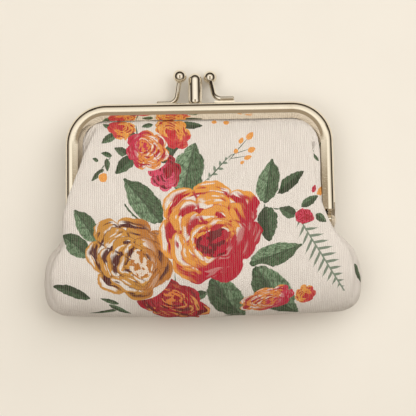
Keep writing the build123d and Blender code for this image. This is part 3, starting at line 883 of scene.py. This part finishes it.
def printed_canvas():
    """Off-white ribbed cotton with roses, leaves, berries and ferns printed into it."""
    material, tree, shader = new_surface("printed_canvas")
    cloth = tree.nodes.new("ShaderNodeUVMap")
    cloth.uv_map = "cloth"
    cloth = cloth.outputs[0]
    weave = tree.nodes.new("ShaderNodeGroup")
    weave.node_tree = ribbed_weave
    sockets(weave, Pitch=0.62, Slub=0.30)
    tree.links.new(cloth, weave.inputs["Vector"])
    colour = mixed(tree, 0.0, (0.80, 0.752, 0.70), (0.80, 0.752, 0.70))
    for base_x, base_y, tip_x, tip_y, width in FERNS:
        base, tip = on_cloth(base_x, base_y), on_cloth(tip_x, tip_y)
        run = tip - base
        place = placed(
            tree, cloth, (base + tip) / 2, math.atan2(run.y, run.x), run.length / 2, width / 2, 0
        )
        colour = painted(tree, painted_fern, colour, place, Pairs=13.0 if width > 5 else 5.0)
    places = []
    for base_x, base_y, tip_x, tip_y, width, tone in SPRAYS:
        base, tip = on_cloth(base_x, base_y), on_cloth(tip_x, tip_y)
        run = tip - base
        places.append(
            placed(tree, cloth, (base + tip) / 2, math.atan2(run.y, run.x), run.length / 2, width / 2, tone)
        )
    colour = painted(tree, painted_leaf, colour, topmost(tree, places))
    # the biggest rose lies over all the others, in a layer of its own
    for layer in (FLOWERS[:-1], FLOWERS[-1:]):
        places = []
        for x, y, radius, turn, roundness, palette in layer:
            places.append(
                placed(tree, cloth, on_cloth(x, y), math.radians(turn), radius, radius * roundness, palette)
            )
        colour = painted(tree, painted_rose, colour, topmost(tree, places))
    # The weave's Tone darkens the print towards dim: partly the slubs' own uneven tone, partly painted
    # shade in the grooves between the ribs
    dim = mixed(tree, 0.55, colour, (0.42, 0.34, 0.30))
    slub_tone_and_groove_shade = mixed(tree, maths(tree, "MULTIPLY", weave.outputs["Tone"], 0.72), colour, dim)
    tree.links.new(slub_tone_and_groove_shade, shader.inputs["Base Color"])
    bump = sockets(tree.nodes.new("ShaderNodeBump"), Strength=1.0, Distance=0.00016)
    tree.links.new(weave.outputs["Height"], bump.inputs["Height"])
    tree.links.new(bump.outputs[0], shader.inputs["Normal"])
    sockets(shader, Roughness=0.88, Specular_IOR_Level=0.08)
    return material


canvas = printed_canvas()

CANVAS_THICKNESS = 0.5
front_cloth = sheet_object("front_cloth", front_grid, CANVAS_THICKNESS, 1, canvas)
back_cloth = sheet_object("back_cloth", back_grid, CANVAS_THICKNESS, -1, canvas)
BODIES = ("pouch_and_centre_frame", "front_flap", "back_flap")
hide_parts("front_panel", "front_pouch")
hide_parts("back_panel", "back_pouch")
for cloth, side, flap in ((front_cloth, 1, "front_flap"), (back_cloth, -1, "back_flap")):
    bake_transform(cloth)

# ======================================================================================================
# Lining and divider. A thin plain beige cotton lining hangs just inside each side's canvas. A stiffer
# divider of the same cloth fills the centre arch and is sewn into the seams below, making two pockets.
# ======================================================================================================


def plain_cotton():
    """Fine plain-woven beige cotton."""
    material, tree, shader = new_surface("plain_cotton")
    cloth = tree.nodes.new("ShaderNodeUVMap")
    cloth.uv_map = "cloth"
    weave = tree.nodes.new("ShaderNodeGroup")
    weave.node_tree = ribbed_weave
    sockets(weave, Pitch=0.42, Slub=0.25)
    tree.links.new(cloth.outputs[0], weave.inputs["Vector"])
    # The weave's Tone darkens the threads: partly the slubs' own uneven tone, partly painted shade in the
    # grooves between the ribs
    threads = mixed(tree, weave.outputs["Tone"], (0.72, 0.64, 0.52), (0.52, 0.44, 0.34))
    tree.links.new(threads, shader.inputs["Base Color"])
    bump = sockets(tree.nodes.new("ShaderNodeBump"), Strength=0.4, Distance=0.00008)
    tree.links.new(weave.outputs["Height"], bump.inputs["Height"])
    tree.links.new(bump.outputs[0], shader.inputs["Normal"])
    sockets(shader, Roughness=0.9)
    return material


cotton = plain_cotton()

LINING_DEPTH = 1.0 * MM  # inside the canvas's outer face
LINING_THICKNESS = 0.3
SMOOTHING_PASSES = 24  # enough that the lining never pokes through a fold of the canvas


def lining_grid(outside, side):
    """The lining just inside a side's canvas. At the edges it stops short of seams and channel."""
    inside = outside[::2, ::2] - grid_normals(outside)[::2, ::2] * side * LINING_DEPTH
    for _ in range(SMOOTHING_PASSES):
        middle = inside[1:-1, 1:-1]
        around = inside[:-2, 1:-1] + inside[2:, 1:-1] + inside[1:-1, :-2] + inside[1:-1, 2:]
        inside[1:-1, 1:-1] = 0.4 * middle + 0.15 * around
    return inside[5:-4, 9:-9]


for name, grid, side, flap in (
    ("front_lining", front_grid, 1, "front_flap"),
    ("back_lining", back_grid, -1, "back_flap"),
):
    lining = sheet_object(name, lining_grid(grid, side), LINING_THICKNESS, side, cotton)
    half = name.split("_")[0]
    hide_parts(half + "_panel_lining", half + "_pouch_lining")
    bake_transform(lining)

# The divider's half widths from the centre arch down to the bottom seam: (u, v). It narrows between
# the arch's legs.
DIVIDER_EDGE = [
    (24.0, 34.3), (33.5, 32.8), (37.6, 28.6), (39.0, 24.0), (39.0, 16.0), (39.0, 8.0), (38.0, 4.6),
    (34.6, 1.5), (34.6, -2.5), (40.0, -5.5), (45.5, -9.5), (47.6, -16.0), (47.4, -21.5), (44.0, -26.0),
    (36.0, -27.8),
]
divider_net = np.array([
    [row_point(u * part, v, 0.0) for part in (-1.0, -0.66, -0.33, 0.0, 0.33, 0.66, 1.0)]
    for u, v in DIVIDER_EDGE
])
DIVIDER_THICKNESS = 0.5
divider_top = dense_net(divider_net, 5, 8) + np.array([0, 0, DIVIDER_THICKNESS / 2 * MM])
divider = sheet_object("divider_cloth", divider_top, DIVIDER_THICKNESS, 1, cotton)
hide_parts("pocket_divider")
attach(divider, BODIES[0])

bpy.context.view_layer.update()
